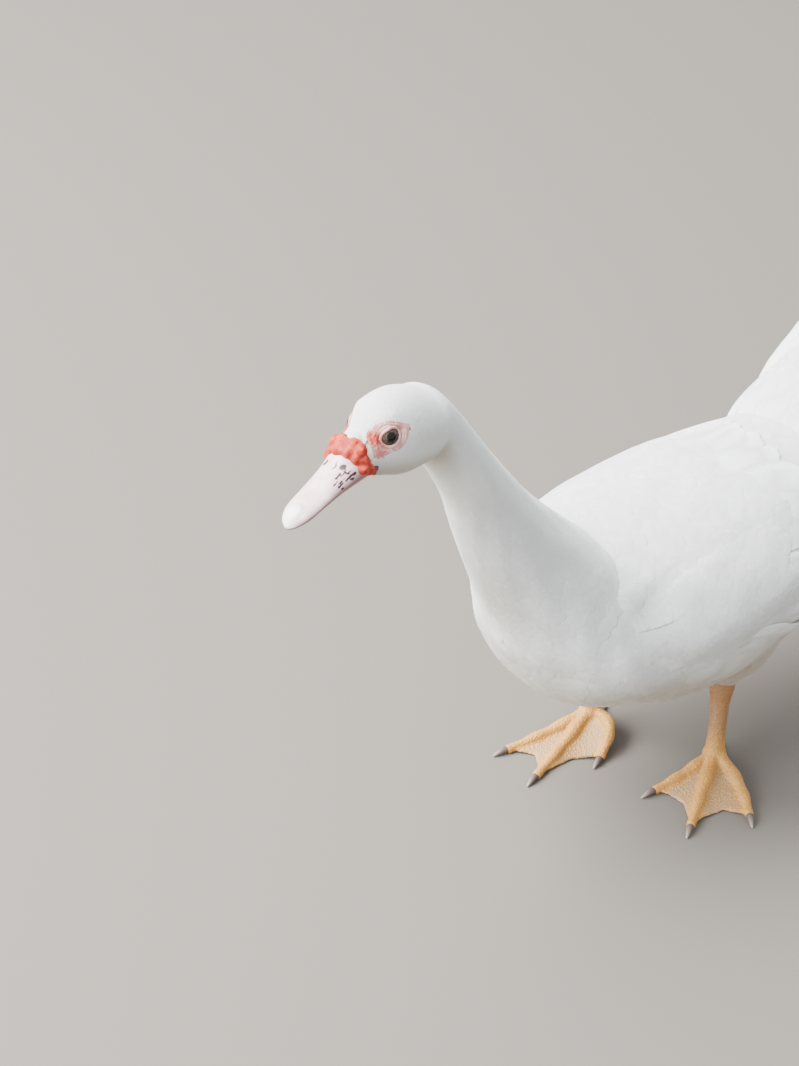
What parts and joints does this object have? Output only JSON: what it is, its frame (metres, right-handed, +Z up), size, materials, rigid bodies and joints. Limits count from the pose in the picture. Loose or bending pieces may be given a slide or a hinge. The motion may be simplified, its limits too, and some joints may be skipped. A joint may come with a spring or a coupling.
{
  "type": "muscovy duck model",
  "caption": "Life-size still model of a white Muscovy duck hen, standing on both webbed feet with wings folded, tail raised and head turned a little to its left.",
  "frame": {"origin": "on the floor at the middle of the model's bounding box", "axes": "+Z up, the bird faces -Y, its left side is +X"},
  "size_m": [0.1704, 0.536, 0.3306],
  "materials": {
    "plumage": "soft matt white feathers",
    "bill": "smooth satin horn, pale pink",
    "caruncles": "bumpy satin skin, red",
    "eyes": "wet gloss, grey brown",
    "feet": "scaly leathery skin, yellow orange",
    "claws": "smooth satin horn, grey"
  },
  "bodies": {
    "root": {"torso": "plumage", "neck_lower": "plumage", "neck_upper": "plumage", "head": "plumage", "wing_left": "plumage", "wing_right": "plumage", "tail": "plumage", "thigh_left": "plumage", "thigh_right": "plumage", "bill_upper": "bill", "bill_lower": "bill", "caruncles": "caruncles", "eye_left": "eyes", "eye_right": "eyes", "leg_left": "feet", "leg_right": "feet", "foot_left": "feet", "foot_right": "feet", "claw_left_inner": "claws", "claw_left_middle": "claws", "claw_left_outer": "claws", "claw_left_hind": "claws", "claw_right_inner": "claws", "claw_right_middle": "claws", "claw_right_outer": "claws", "claw_right_hind": "claws"}
  },
  "joints": []
}
